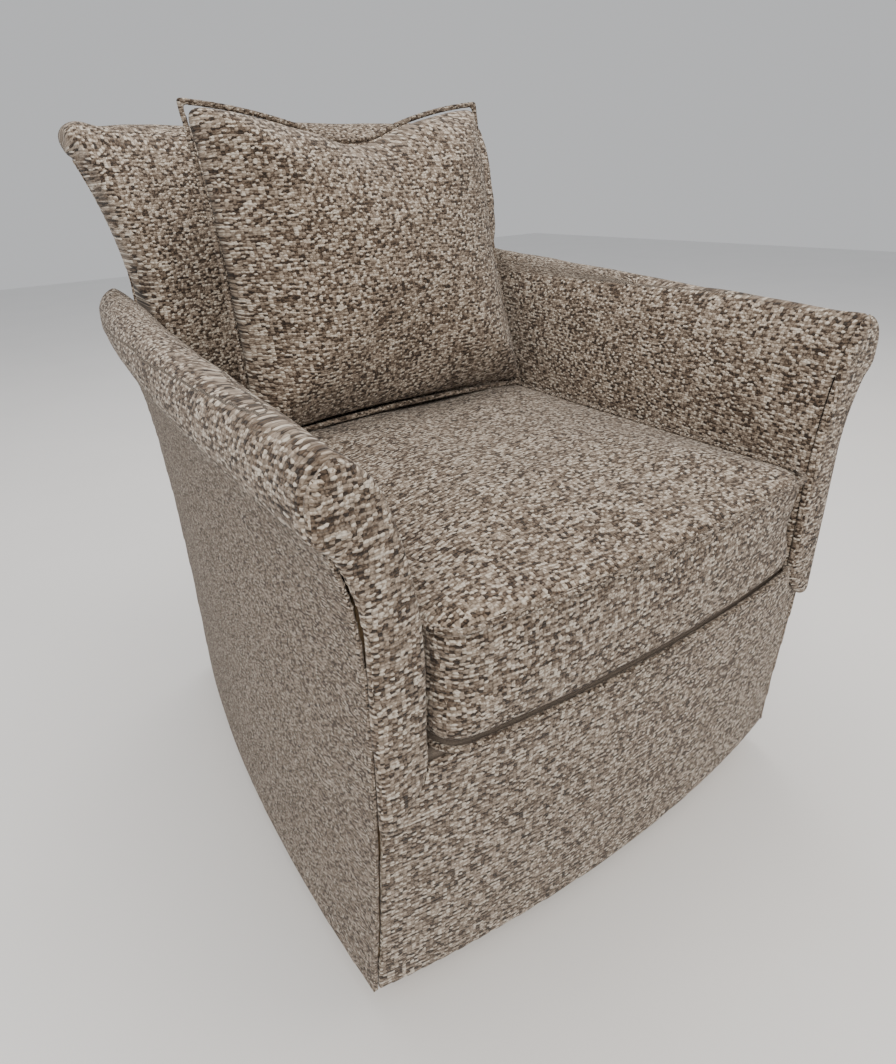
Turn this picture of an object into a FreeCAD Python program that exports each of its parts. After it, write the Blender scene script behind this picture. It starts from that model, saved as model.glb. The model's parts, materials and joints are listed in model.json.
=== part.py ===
import FreeCAD, Part
import math
import os
import Sketcher
from FreeCAD import Placement, Rotation, Vector

# An upholstered armchair that turns on a ring base and rocks on four coil springs.
# The front faces -Y, X runs across the seat, Z is up and Z = 0 is the floor. All lengths are millimetres.

SIZES = [
    # the whole chair
    ("overall_depth", 880, "front of the seat cushion to the back of the top roll"),
    ("floor_gap", 44, "floor to the lower edge of the covers"),
    ("clearance", 0.3, "gap between pieces that touch in use"),
    # seat box
    ("seat_width", 586, "between the inside faces of the arms"),
    ("seat_height", 353, "floor to the top of the seat deck"),
    ("deck_thickness", 26, "padding of the seat deck"),
    ("rail_depth", 84, "height of the seat rails"),
    ("sole_lift", 8, "bottom rails above the edge of the covers"),
    ("rail_thickness", 22, "hardwood of the seat box"),
    ("cover_thickness", 6, "fabric, wadding and board of the outside covers"),
    ("front_setback", 36, "cushion front to the top corner of the front border"),
    ("front_kick", 18, "how far the front border leans back at its foot"),
    ("front_bow", 30, "bow of the front border across its width"),
    ("foot_spread", 5, "how far the front corners spread at the floor"),
    ("side_bulge", 27, "bow of the side covers, front to back"),
    ("side_lean", 36, "how far the side covers lean out at the back corners"),
    # arms
    ("arm_thickness", 56, "arm, at seat height"),
    ("arm_height", 673, "floor to the top of the arm, at its front"),
    ("arm_rise", 44, "how much higher the arm is at the back"),
    ("arm_flare", 30, "how far the arm leans out under its roll, at the front"),
    ("arm_flare_back", 26, "the same at the back"),
    ("arm_lip", 15, "roll of the arm beyond the outside cover"),
    ("arm_roll", 76, "top of the arm to the seam under its roll"),
    ("arm_padding", 15, "padding of the inside of the arm"),
    ("arm_top_padding", 48, "padding over the arm board"),
    ("arm_board_width", 32, "board under the arm roll"),
    ("arm_board_height", 25, "thickness of that board"),
    ("nose_depth", 11, "padding of the arm front beyond the corner seam"),
    ("nose_drop", 62, "seat deck down to the point of the arm front"),
    ("post_width", 46, "front post, front to back"),
    ("post_thickness", 20, "front post, across"),
    # back
    ("back_height", 948, "floor to the top of the back"),
    ("back_half_width", 325, "middle of the back to its side, at arm height"),
    ("back_flare", 58, "how far the sides of the back lean out at the top"),
    ("back_foot_narrow", 20, "how much narrower the back is at the floor, each side"),
    ("back_foot", 328, "origin to the outside back, at the floor"),
    ("back_rake", 26, "how far the outside back leans, floor to arm height"),
    ("back_sag", 33, "bow of the back across its width"),
    ("back_lip", 34, "top roll beyond the outside back"),
    ("back_roll", 50, "top of the back to the seam under its roll"),
    ("inside_back", 165, "origin to the inside back, at the seat deck"),
    ("inside_lean", 75, "how far the inside back leans, deck to arm height"),
    ("back_padding", 58, "padding in front of the webbing"),
    ("back_nose", 22, "padding round the sides of the back"),
    ("back_edge", 16, "rounding of the edges of the back"),
    ("back_post_width", 30, "back post, across"),
    ("top_rail_depth", 46, "height of the top rail"),
    ("strap_width", 50, "back webbing"),
    ("strap_thickness", 2, "back webbing"),
    # seat cushion
    ("cushion_thickness", 129, "border of the seat cushion, seam to seam"),
    ("cushion_crown", 21, "rise of its top over the seam"),
    ("cushion_gap", 5, "between the cushion and each arm"),
    ("cushion_bow", 17, "bow of the cushion front"),
    ("cushion_corner", 40, "corner radius of the cushion"),
    ("cushion_back_gap", 5, "between the cushion and the inside back"),
    ("cushion_waist", 5, "how far its border draws in"),
    ("welt_radius", 4.5, "piping cord in its cover"),
    # back pillow
    ("pillow_width", 500, "across the pillow, seam to seam"),
    ("pillow_height", 470, "up the pillow, at its corners"),
    ("pillow_thickness", 176, "middle of the pillow"),
    ("pillow_chop", 56, "dip in the middle of the pillow's top edge"),
    ("pillow_waist", 9, "how far its other edges draw in"),
    ("pillow_lean", 16, "degrees from upright"),
    ("pillow_foot", 68, "origin to the bottom seam of the pillow"),
    ("zip_width", 24, "zip tape"),
    # ring base and swivel
    ("swivel_y", -30, "origin to the swivel axis"),
    ("ring_radius", 250, "ring base, centre of its tube"),
    ("ring_tube", 25, "side of the square bar of the ring"),
    ("glide_height", 8, "glide under the tube"),
    ("glide_radius", 17, "glide"),
    ("glide_count", 6, "number of glides"),
    ("bar_width", 44, "cross bars of the base"),
    ("bar_height", 20, "cross bars of the base"),
    ("plate_thickness", 3, "swivel plates"),
    ("lower_plate_radius", 96, "fixed swivel plate"),
    ("race_inner", 58, "slip ring, inner radius"),
    ("race_outer", 78, "slip ring, outer radius"),
    ("race_height", 6, "slip ring"),
    ("upper_plate_size", 176, "turning swivel plate, across"),
    ("pin_radius", 6, "king pin"),
    ("pin_head_radius", 14, "king pin head"),
    ("pin_head_height", 5, "king pin head"),
    ("nut_radius", 12, "king pin nut, centre to corner"),
    ("nut_height", 9, "king pin nut"),
    # rocker
    ("cradle_width", 236, "cradle across its cheeks, outside"),
    ("cradle_length", 224, "cradle floor, front to back"),
    ("steel", 4, "cradle and rocker pan"),
    ("pivot_height", 92, "rocking axis above the floor"),
    ("pivot_radius", 6, "pivot pins"),
    ("bush_wall", 2.5, "pivot bushes"),
    ("cheek_half", 46, "half the length of a cheek at its top"),
    ("cheek_over", 16, "cheek beyond the pivot"),
    ("pan_height", 134, "floor to the underside of the rocker pan"),
    ("pan_length", 236, "rocker pan, front to back"),
    ("spring_x", 68, "springs from the middle, across"),
    ("spring_y", 80, "springs from the axis, front and back"),
    ("spring_radius", 18, "middle of the coil"),
    ("spring_wire", 5, "wire"),
    ("spring_turns", 4, "turns of each spring"),
    ("cup_height", 8, "cups that hold the springs"),
    ("stop_radius", 9, "rubber stops"),
    ("stop_y", 32, "stops from the rocking axis"),
    ("stop_gap", 5.5, "between a stop and the cheek under it"),
    ("slat_width", 84, "hardwood slats over the rocker pan"),
    ("slat_thickness", 25, "hardwood slats"),
    ("slat_y", 76, "slats from the axis"),
    ("bolt_radius", 4, "bolts through the slats"),
    ("bolt_x", 101, "bolts from the middle"),
    # seat springs
    ("zigzag_count", 4, "zigzag springs"),
    ("zigzag_spacing", 120, "between zigzag springs"),
    ("zigzag_width", 72, "across the bends"),
    ("zigzag_wire", 4, "wire"),
    ("zigzag_bends", 11, "bends of each spring"),
]

doc = FreeCAD.newDocument("swivel_rocker")
sheet = doc.addObject("Spreadsheet::Sheet", "sizes")
for row, (alias, value, note) in enumerate(SIZES, start=1):
    sheet.set(f"A{row}", note)
    sheet.set(f"B{row}", str(value))
    sheet.setAlias(f"B{row}", alias)
doc.recompute()

ALIASES = {alias for alias, _, _ in SIZES}
SIDES = (("right", -1), ("left", 1))
NODES = []


def size(alias):
    """The value of one driving dimension."""
    return float(sheet.get(alias))


def node(label, made):
    """Marks a document object as a sub-part, under the name that its file gets."""
    made.Label = label
    NODES.append(made)
    return made


def with_sheet(text):
    """The expression, with each alias written as a cell of the sheet."""
    words, word = [], ""
    for letter in str(text) + " ":
        if letter.isalnum() or letter == "_":
            word += letter
            continue
        words.append("sizes." + word if word in ALIASES else word)
        words.append(letter)
        word = ""
    return "".join(words).strip()


def bind(thing, **expressions):
    """Binds properties to the sheet. Here x, y and z are the place of the thing."""
    for name, text in expressions.items():
        path = "Placement.Base." + name if name in ("x", "y", "z") else name
        thing.setExpression(path, with_sheet(text))
    return thing


def box(name, length, width, height, x="0", y="0", z="0"):
    """A box, with the place of its lowest corner."""
    made = doc.addObject("Part::Box", name)
    return bind(made, Length=length, Width=width, Height=height, x=x, y=y, z=z)


def centred_box(name, length, width, height, x="0", y="0", z="0"):
    """A box, with the place of the middle of its underside."""
    return box(name, length, width, height, f"{x} - ({length}) / 2", f"{y} - ({width}) / 2", z)


def cylinder(name, radius, height, x="0", y="0", z="0", along_x=False):
    made = doc.addObject("Part::Cylinder", name)
    if along_x:
        made.Placement = Placement(Vector(), Rotation(Vector(0, 1, 0), 90))
    return bind(made, Radius=radius, Height=height, x=x, y=y, z=z)


def cut(name, base, *tools):
    """The base less each of the tools."""
    made = doc.addObject("Part::Cut", name)
    made.Base = base
    made.Tool = tools[0] if len(tools) == 1 else fuse(name + "_tools", *tools)
    return made


def fuse(name, *shapes):
    made = doc.addObject("Part::MultiFuse", name)
    made.Shapes = list(shapes)
    return made


def common(name, *shapes):
    made = doc.addObject("Part::MultiCommon", name)
    made.Shapes = list(shapes)
    return made


def group(name, things):
    """Like pieces, kept as separate solids of one sub-part."""
    made = doc.addObject("Part::Compound", name)
    made.Links = things
    return made


def formed(name, shape):
    """A free-form piece, whose shape is worked out from the sheet's values."""
    made = doc.addObject("Part::Feature", name)
    made.Shape = shape
    return made


def sketch_on(body, role, offset="0"):
    """An empty sketch on one of the body's own origin planes."""
    sketch = body.newObject("Sketcher::SketchObject", body.Name + "_outline")
    plane = next(f for f in body.Origin.OriginFeatures if f.Role == role)
    sketch.AttachmentSupport = (plane, "")
    sketch.MapMode = "FlatFace"
    sketch.setExpression("AttachmentOffset.Base.z", with_sheet(offset))
    return sketch


def fix_point(sketch, geometry, position, x, y):
    """Ties one point of the sketch to two expressions."""
    for kind, text in (("DistanceX", x), ("DistanceY", y)):
        index = sketch.addConstraint(Sketcher.Constraint(kind, -1, 1, geometry, position, 1.0))
        sketch.setExpression(f"Constraints[{index}]", with_sheet(text))


def polygon(sketch, points):
    """A closed outline of straight lines. Each corner is a pair of expressions."""
    first = sketch.GeometryCount
    count = len(points)
    turn = 2 * math.pi / count
    rough = [Vector(math.cos(i * turn), math.sin(i * turn), 0) * 50 for i in range(count)]
    for i in range(count):
        sketch.addGeometry(Part.LineSegment(rough[i], rough[(i + 1) % count]))
    for i in range(count):
        sketch.addConstraint(Sketcher.Constraint("Coincident", first + i, 2, first + (i + 1) % count, 1))
    for i, (x, y) in enumerate(points):
        fix_point(sketch, first + i, 1, x, y)


def ring(sketch, radius, x="0", y="0"):
    """A circle, with its centre and radius tied to the sheet."""
    index = sketch.addGeometry(Part.Circle(Vector(), Vector(0, 0, 1), 1.0))
    fix_point(sketch, index, 3, x, y)
    constraint = sketch.addConstraint(Sketcher.Constraint("Radius", index, 1.0))
    sketch.setExpression(f"Constraints[{constraint}]", with_sheet(radius))


def padded(name, role, length, draw, offset="0", both_ways=False):
    """A body made by one pad. The function draws the outline in the sketch that it is given."""
    body = doc.addObject("PartDesign::Body", name)
    sketch = sketch_on(body, role, offset)
    draw(sketch)
    pad = body.newObject("PartDesign::Pad", name + "_pad")
    pad.Profile = sketch
    pad.Midplane = both_ways
    pad.setExpression("Length", with_sheet(length))
    body.Tip = pad
    return body


# Values that several pieces share

CLEAR = size("clearance")
FLOOR_EDGE = size("floor_gap")
DECK = size("seat_height")
RAIL_TOP = DECK - size("deck_thickness")
RAIL_FOOT = RAIL_TOP - size("rail_depth")
COVER = size("cover_thickness")
INNER = size("seat_width") / 2
OUTER = INNER + size("arm_thickness")
FRONT = -size("overall_depth") / 2
BORDER_FRONT = FRONT + size("front_setback")
ARM_TUCK = size("arm_height") - size("arm_roll")
BACK_SIDE = size("back_half_width")
BACK_FOOT_SIDE = BACK_SIDE - size("back_foot_narrow")
BACK_END = size("back_foot") - size("back_sag") - COVER - CLEAR
ARM_END = BACK_END + 0.9 * size("back_rake")
BOW_RADIUS = (BACK_SIDE ** 2 + size("back_sag") ** 2) / (2 * size("back_sag"))
SLAT_FOOT = size("pan_height") + size("steel")
SWIVEL = size("swivel_y")


def mix(a, b, share):
    return a + (b - a) * share


def sag_at(y, x):
    """How far a sheet of the back, in the middle at y, has come forward at a distance x to the side."""
    radius = BOW_RADIUS - (size("back_foot") - y)
    return radius - math.sqrt(radius ** 2 - x ** 2)


def rear_y(z, inset=0.0):
    """Outside back at a height, up to arm height, in the middle of the chair."""
    share = (z - FLOOR_EDGE) / (size("arm_height") - FLOOR_EDGE)
    return size("back_foot") + size("back_rake") * share - inset


def line(a, b):
    return Part.LineSegment(Vector(*a), Vector(*b)).toShape()


def arc(a, through, b):
    return Part.Arc(Vector(*a), Vector(*through), Vector(*b)).toShape()


def outline(*edges):
    return Part.Wire(list(edges))


def closed(points):
    """A closed outline of straight lines."""
    return outline(*[line(points[i - 1], points[i]) for i in range(len(points))])


def loft(sections, ruled=True):
    return Part.makeLoft(sections, True, ruled)


def mirrored(shape, side):
    """Pieces are made on the +X side, and this turns them over for the other."""
    return shape if side > 0 else shape.mirror(Vector(), Vector(1, 0, 0))


# The side covers, from the corner seam at the front to the back corner


def cover_x(share, level):
    """Outside of the side cover. share runs front to back, level from the floor edge to the roll of the arm."""
    middle = 4 * share * (1 - share) * size("side_bulge")
    base = mix(OUTER, BACK_FOOT_SIDE, share) + middle
    spread = size("foot_spread") * (1 - share) * max(0, 1 - 3 * level) ** 2
    lean = size("side_lean") * share ** 2 * level ** 1.6
    flare = mix(size("arm_flare"), size("arm_flare_back"), share) * level ** 8
    return base + spread + lean + flare


def cover_y(share, level):
    """The front edge leans as the front border does, up to the seat."""
    seat_level = (DECK - FLOOR_EDGE) / (ARM_TUCK - FLOOR_EDGE)
    kick = size("front_kick") * max(0, 1 - level / seat_level)
    inner = rear_y(cover_z(1, level), COVER)
    back = inner - sag_at(inner, cover_x(1, level)) - 2 * CLEAR
    return mix(BORDER_FRONT + kick + CLEAR, back, share)


def cover_z(share, level):
    return mix(FLOOR_EDGE, ARM_TUCK + size("arm_rise") * share, level)


def cover_point(share, level, inset=0.0, front_gap=0.0, back_gap=0.0):
    """A point of the cover, or of a board that stands inset from it."""
    x = cover_x(share, level) - inset
    y = cover_y(share, level)
    y += front_gap * (1 - share) - back_gap * share
    return (x, y, cover_z(share, level))


def strip(level, outer, inner, front_gap=0.0, back_gap=0.0):
    """One level of a sheet that follows the side cover, between two distances inside it."""
    def at(share, inset):
        return cover_point(share, level, inset, front_gap, back_gap)
    return outline(
        arc(at(0, outer), at(0.5, outer), at(1, outer)),
        line(at(1, outer), at(1, inner)),
        arc(at(1, inner), at(0.5, inner), at(0, inner)),
        line(at(0, inner), at(0, outer)),
    )


def level_of(z):
    """The level of the cover at a height, taken at the front."""
    return (z - FLOOR_EDGE) / (ARM_TUCK - FLOOR_EDGE)


def side_cover():
    levels = (0, 0.14, 0.33, 0.52, 0.7, 0.82, 0.9, 0.96, 1)
    return loft([strip(level, 0, COVER) for level in levels])


def side_board(foot, top, thickness, front_gap, back_gap):
    """A sawn board that lies along the inside of the side cover."""
    wires = []
    front, back = BORDER_FRONT + front_gap, BACK_END - back_gap
    ys = (front, (front + back) / 2, back)
    for z in (foot, top):
        shares = [(y - BORDER_FRONT) / (BACK_END - BORDER_FRONT) for y in ys]
        outer = [cover_x(share, level_of(z)) - COVER - 2 for share in shares]
        out = [(x, y, z) for x, y in zip(outer, ys)]
        inn = [(x - thickness, y, z) for x, y in zip(outer, ys)]
        wires.append(outline(arc(*out), line(out[2], inn[2]), arc(*inn[::-1]), line(inn[0], out[0])))
    return loft(wires, ruled=True)


# The arms


def arm_frame(share):
    """Place of the arm's section: y, top, the seam under the roll, and its outer and inner faces."""
    y = cover_y(share, 1)
    top = size("arm_height") + size("arm_rise") * share
    return y, top, top - size("arm_roll"), cover_x(share, 1), INNER


def arm_roll_edges(y, top, seam, outer, inner, inset=0.0):
    """The padded edge, from the inside face over the roll to the seam under the lip."""
    width = outer - inner
    start = (inner + inset, y, seam - 1.7 * size("arm_roll"))
    low = (inner + 0.13 * width + inset, y, top - 1.54 * size("arm_roll"))
    shoulder = (inner + 0.4 * width + inset, y, top - 0.5 * size("arm_roll") - inset / 2)
    high = (inner + 0.6 * width + inset / 2, y, top - 0.19 * size("arm_roll") - inset)
    ridge = (outer - 0.15 * width, y, top - inset)
    turn = (outer + 0.62 * size("arm_lip") - inset, y, top - 0.21 * size("arm_roll") - inset / 2)
    lip = (outer + size("arm_lip") - inset, y, seam + 0.4 * size("arm_roll"))
    under = (outer + 0.75 * size("arm_lip") - inset, y, seam + 0.13 * size("arm_roll"))
    tuck = (outer - inset, y, seam)
    return [arc(start, low, shoulder), arc(shoulder, high, ridge), arc(ridge, turn, lip), arc(lip, under, tuck)]


def arm_section(share, slot=True):
    """Padding of the arm. The slot is the space for the arm board."""
    y, top, seam, outer, inner = arm_frame(share)
    edges = arm_roll_edges(y, top, seam, outer, inner)
    start, tuck = edges[0].Vertexes[0].Point, edges[-1].Vertexes[-1].Point
    wall = inner + size("arm_padding")
    board_top = top - size("arm_top_padding")
    board_foot = board_top - size("arm_board_height")
    board_out = outer - COVER
    board_in = board_out - size("arm_board_width")
    points = [tuple(tuck), (board_out, y, seam)]
    if slot:
        points += [(board_out, y, board_top), (board_in, y, board_top), (board_in, y, board_foot)]
    else:
        points += [(board_out, y, board_foot)]
    points += [
        (wall + 0.9 * size("arm_padding"), y, board_foot),
        (wall, y, board_foot - 0.8 * size("arm_roll")),
        (wall, y, RAIL_TOP),
        (inner, y, RAIL_TOP),
        tuple(start),
    ]
    return outline(*edges, *[line(a, b) for a, b in zip(points, points[1:])])


def arm_board_section(share):
    y, top, _, outer, _ = arm_frame(share)
    board_top = top - size("arm_top_padding") - CLEAR
    board_foot = board_top - size("arm_board_height") + 2 * CLEAR
    out = outer - COVER - CLEAR
    inn = out - size("arm_board_width") + 2 * CLEAR
    return closed([(inn, y, board_foot), (out, y, board_foot), (out, y, board_top), (inn, y, board_top)])


def arm_front_section(depth, inset):
    """Outline of the padded arm front, down to its point."""
    y, top, seam, outer, inner = arm_frame(0)
    y -= depth
    edges = arm_roll_edges(y, top, seam, outer, inner, inset)
    start, tuck = edges[0].Vertexes[0].Point, edges[-1].Vertexes[-1].Point
    foot = DECK - size("nose_drop") + inset
    width = size("arm_thickness")
    knee = (OUTER + 3 - inset, y, seam - 1.2 * size("arm_roll"))
    lean = (OUTER + 13 - inset, y, seam - 0.5 * size("arm_roll"))
    corner = (OUTER - inset, y, foot + 0.2 * width)
    tip = (OUTER - 0.12 * width - inset, y, foot)
    notch = (OUTER - 0.35 * width, y, foot + 0.06 * width)
    bend = (inner + 0.16 * width + inset, y, foot + 0.55 * width)
    side = (inner + inset, y, foot + 1.5 * width)
    return outline(
        *edges,
        arc(tuck, lean, knee),
        line(knee, corner),
        arc(corner, tip, notch),
        arc(notch, bend, side),
        line(side, tuple(start)),
    )


def arm_front():
    depth = size("nose_depth")
    steps = ((0, 0), (0.45 * depth, 0.8), (0.85 * depth, 4), (depth, 9))
    return loft([arm_front_section(*step) for step in steps])


ARM_SHARES = (0, 0.12, 0.25, 0.38, 0.5, 0.62, 0.75, 0.88, 0.97)


def arm_padding():
    """Open along the board, and closed by padding behind the end of it."""
    along = loft([arm_section(share) for share in ARM_SHARES])
    closed_end = loft([arm_section(share, False) for share in (ARM_SHARES[-1], 1)])
    return along.fuse(closed_end)


def arm_board():
    """Stops short of the padded end behind it."""
    last = ARM_SHARES[-1] - 0.002
    return loft([arm_board_section(share) for share in ARM_SHARES[:-1] + (last,)])


# The back, whose outline is turned about an upright axis far in front of the chair

BOW_CENTRE = Vector(0, size("back_foot") - BOW_RADIUS, 0)
BOW_HALF_ANGLE = math.degrees(math.asin((BACK_SIDE + size("back_flare") + 30) / (BOW_RADIUS - 160)))


def turned(profile):
    """Turns an upright profile in the middle plane into a bowed solid."""
    face = Part.Face(profile)
    face.rotate(BOW_CENTRE, Vector(0, 0, 1), -BOW_HALF_ANGLE)
    return face.revolve(BOW_CENTRE, Vector(0, 0, 1), 2 * BOW_HALF_ANGLE)


def at_yz(y, z):
    return (0, y, z)


def back_points():
    """The turning points of the middle profile."""
    top = size("back_height")
    roll = size("back_roll")
    rear = size("overall_depth") / 2
    low = (size("inside_back"), RAIL_TOP)
    knee = (size("inside_back") + size("inside_lean"), size("arm_height") + 0.8 * size("arm_rise"))
    ridge = (rear - 1.1 * roll, top)
    lip = (rear, top - 0.6 * roll)
    tuck = (rear - size("back_lip"), top - roll)
    return low, knee, ridge, lip, tuck


def back_profile():
    """Front, roll and rear of the padded back, less the outside cover."""
    low, knee, ridge, lip, tuck = back_points()
    belly = (knee[0] + 0.42 * (ridge[0] - knee[0]), knee[1] + 0.68 * (ridge[1] - knee[1]))
    over = (ridge[0] + 0.8 * (lip[0] - ridge[0]), lip[1] + 0.78 * (ridge[1] - lip[1]))
    under = (mix(tuck[0], lip[0], 0.8), mix(tuck[1], lip[1], 0.3))
    waist = size("arm_height")
    rear = rear_y(waist, COVER)
    mid = (mix(rear, tuck[0] - COVER, 0.36), mix(waist, tuck[1], 0.5))
    return outline(
        line(at_yz(*low), at_yz(*knee)),
        arc(at_yz(*knee), at_yz(*belly), at_yz(*ridge)),
        arc(at_yz(*ridge), at_yz(*over), at_yz(*lip)),
        arc(at_yz(*lip), at_yz(*under), at_yz(*tuck)),
        line(at_yz(*tuck), at_yz(tuck[0] - COVER, tuck[1])),
        arc(at_yz(tuck[0] - COVER, tuck[1]), at_yz(*mid), at_yz(rear, waist)),
        line(at_yz(rear, waist), at_yz(rear_y(RAIL_TOP, COVER), RAIL_TOP)),
        line(at_yz(rear_y(RAIL_TOP, COVER), RAIL_TOP), at_yz(*low)),
    )


def core_points(gap=0.0):
    """Front and top of the space for the frame inside the back."""
    low, knee, ridge, _, tuck = back_points()
    pad = size("back_padding") + gap
    top = tuck[1] - 12 - gap
    return [
        (low[0] + pad + 20, FLOOR_EDGE + size("stop_radius")),
        (low[0] + pad + 20, RAIL_TOP),
        (knee[0] + pad, knee[1]),
        (ridge[0] - 26 + gap, top),
        (tuck[0] - COVER - 10, top),
    ]


def core_profile(gap=0.0, rear=True):
    """The space for the frame. Where it is open to the rear it runs right through the outside back."""
    points = core_points(gap)
    waist = size("arm_height")
    top = points[-1]
    if rear:
        through = COVER - 40
        points[-1] = (top[0] + 60, top[1])
        points += [(rear_y(waist, through), waist), (rear_y(points[0][1], through), points[0][1])]
        return closed([at_yz(*p) for p in points])
    inner = rear_y(waist, COVER)
    _, _, _, _, tuck = back_points()
    points.append((mix(inner, tuck[0] - COVER, 0.36) - gap - 3, mix(waist, tuck[1], 0.5)))
    points += [(inner - gap, waist), (rear_y(points[0][1], COVER + gap), points[0][1])]
    return closed([at_yz(*p) for p in points])


def front_view(inset, foot, foot_half):
    """The back as seen from the front, as a solid that runs right through it."""
    top = size("back_height") - inset
    side = BACK_SIDE - inset
    flared = BACK_SIDE + size("back_flare") - inset
    arm_top = size("arm_height") + size("arm_rise")
    ear = 46.0
    right = [
        line((foot_half, 0, foot), (side, 0, arm_top)),
        arc((side, 0, arm_top), (side + 0.33 * size("back_flare"), 0, mix(arm_top, top - ear, 0.55)),
            (flared, 0, top - 0.55 * ear)),
        arc((flared, 0, top - 0.55 * ear), (flared - 0.24 * ear, 0, top - 0.1 * ear), (flared - ear, 0, top)),
    ]
    left = [edge.mirror(Vector(), Vector(1, 0, 0)) for edge in right]
    edges = right + [line((flared - ear, 0, top), (ear - flared, 0, top))]
    edges += left + [line((-foot_half, 0, foot), (foot_half, 0, foot))]
    face = Part.Face(Part.Wire(Part.sortEdges(edges)[0]))
    return face.extrude(Vector(0, size("overall_depth"), 0))


def back_envelope():
    return turned(back_profile()).common(front_view(0, RAIL_TOP, BACK_FOOT_SIDE + 3))


def back_core(gap=0.0, rear=True):
    """The space for the frame, inside the padding of the back."""
    foot_half = BACK_FOOT_SIDE + 3 - size("back_nose")
    foot = core_points()[0][1]
    inset = size("back_nose") + gap
    return turned(core_profile(gap, rear)).common(front_view(inset, foot, foot_half - gap))


def rounded_back(shape):
    """Rounds the long edges between the sides of the back and its front."""
    chosen = []
    for edge in shape.Edges:
        middle = edge.valueAt(edge.getParameterByLength(edge.Length / 2))
        at_side = abs(middle.x) > BACK_FOOT_SIDE - 5
        in_front = RAIL_TOP + 5 < middle.z < size("back_height") - 18 and middle.y < rear_y(middle.z) - 60
        if at_side and in_front and edge.Length > 0.25 * size("back_height") - 30:
            chosen.append(edge)
    return shape.makeFillet(size("back_edge"), chosen)


def back_padding():
    return rounded_back(back_envelope()).cut(back_core())


def rear_panel():
    """The rear seen from behind, up to the arms: as wide as the two side covers."""
    right = [(cover_x(1, level), 0, cover_z(1, level)) for level in (0, 0.25, 0.5, 0.7, 0.82, 0.92, 1)]
    left = [(-x, y, z) for x, y, z in reversed(right)]
    return Part.Face(closed(right + left)).extrude(Vector(0, size("overall_depth"), 0))


def outside_back():
    """The sheet that closes the back, from the floor edge to the seam under the roll."""
    _, _, _, _, tuck = back_points()
    waist = size("arm_height")
    rear = rear_y(waist, COVER)
    mid = (mix(rear, tuck[0] - COVER, 0.36), mix(waist, tuck[1], 0.5))
    gap = CLEAR / 3
    inner = [(rear_y(FLOOR_EDGE, COVER) + gap, FLOOR_EDGE), (rear + gap, waist)]
    profile = outline(
        line(at_yz(*inner[0]), at_yz(*inner[1])),
        arc(at_yz(*inner[1]), at_yz(mid[0] + gap, mid[1]), at_yz(tuck[0] - COVER + gap, tuck[1] - gap)),
        line(at_yz(tuck[0] - COVER + gap, tuck[1] - gap), at_yz(tuck[0], tuck[1] - gap)),
        arc(at_yz(tuck[0], tuck[1] - gap), at_yz(mid[0] + COVER, mid[1]), at_yz(rear + COVER, waist)),
        line(at_yz(rear + COVER, waist), at_yz(inner[0][0] + COVER - gap, FLOOR_EDGE)),
        line(at_yz(inner[0][0] + COVER - gap, FLOOR_EDGE), at_yz(*inner[0])),
    )
    above = front_view(0, ARM_TUCK + size("arm_rise"), BACK_SIDE)
    return turned(profile).common(rear_panel().fuse(above))


FRAME_GAP = 2 * size("strap_thickness") + 2 * CLEAR
TOP_RAIL_FOOT = core_points(FRAME_GAP)[3][1] - size("top_rail_depth")
SPRING_RAIL_TOP = DECK + 66


def between_posts():
    """Everything between the inner faces of the two back posts, as a solid."""
    inset = size("back_nose") + FRAME_GAP + size("back_post_width")
    foot = core_points()[0][1] - 5
    return front_view(inset, foot, BACK_FOOT_SIDE + 3 - inset)


def slab(foot, top):
    """All that lies between two heights."""
    half = size("overall_depth")
    return Part.makeBox(2 * half, 2 * half, top - foot, Vector(-half, -half, foot))


def back_posts():
    """Sawn to the side view of the back and leaning out with its sides. The right one comes first."""
    posts = back_core(FRAME_GAP, rear=False).cut(between_posts()).common(slab(0, TOP_RAIL_FOOT - CLEAR / 3))
    return sorted(posts.Solids, key=lambda solid: solid.CenterOfMass.x)


def top_rail():
    """Sawn to the bow of the back, and seated on the two posts."""
    return back_core(FRAME_GAP, rear=False).common(slab(TOP_RAIL_FOOT, size("back_height")))


def core_front(z, gap):
    """Front of the frame space at a height up to arm height."""
    low, knee = core_points(gap)[1:3]
    return mix(low[0], knee[0], max(0, z - low[1]) / (knee[1] - low[1]))


def cross_rail(foot, top, thickness):
    """A bowed rail between the posts, flush with the front of them."""
    front = [core_front(z, FRAME_GAP) for z in (foot, top)]
    profile = closed([
        at_yz(front[0], foot), at_yz(front[0] + thickness, foot),
        at_yz(front[1] + thickness, top), at_yz(front[1], top),
    ])
    return turned(profile).common(between_posts())


def back_webbing():
    """Straps up the back and straps across it, woven in front of the frame."""
    thick = size("strap_thickness")
    upright = closed([
        at_yz(core_front(z, CLEAR + inset), z)
        for z, inset in ((SPRING_RAIL_TOP, 0), (SPRING_RAIL_TOP, thick), (knee_height(), thick), (knee_height(), 0))
    ])
    sheet_up = turned(upright)
    straps = []
    for x in (-1.5, -0.5, 0.5, 1.5):
        middle = x * 2.3 * size("strap_width")
        width = size("strap_width")
        depth = size("overall_depth")
        straps.append(sheet_up.common(Part.makeBox(width, depth, depth, Vector(middle - width / 2, 0, 0))))
    for share in (0.2, 0.5, 0.8):
        z = mix(SPRING_RAIL_TOP, knee_height(), share)
        top = z + size("strap_width")
        across = closed([
            at_yz(core_front(z, CLEAR + thick), z), at_yz(core_front(z, CLEAR + 2 * thick), z),
            at_yz(core_front(top, CLEAR + 2 * thick), top), at_yz(core_front(top, CLEAR + thick), top),
        ])
        straps.append(turned(across).common(front_view(size("back_nose") + 8, RAIL_TOP, BACK_FOOT_SIDE - size("back_nose") - 8)))
    return Part.makeCompound([solid for strap in straps for solid in strap.Solids])


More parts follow.
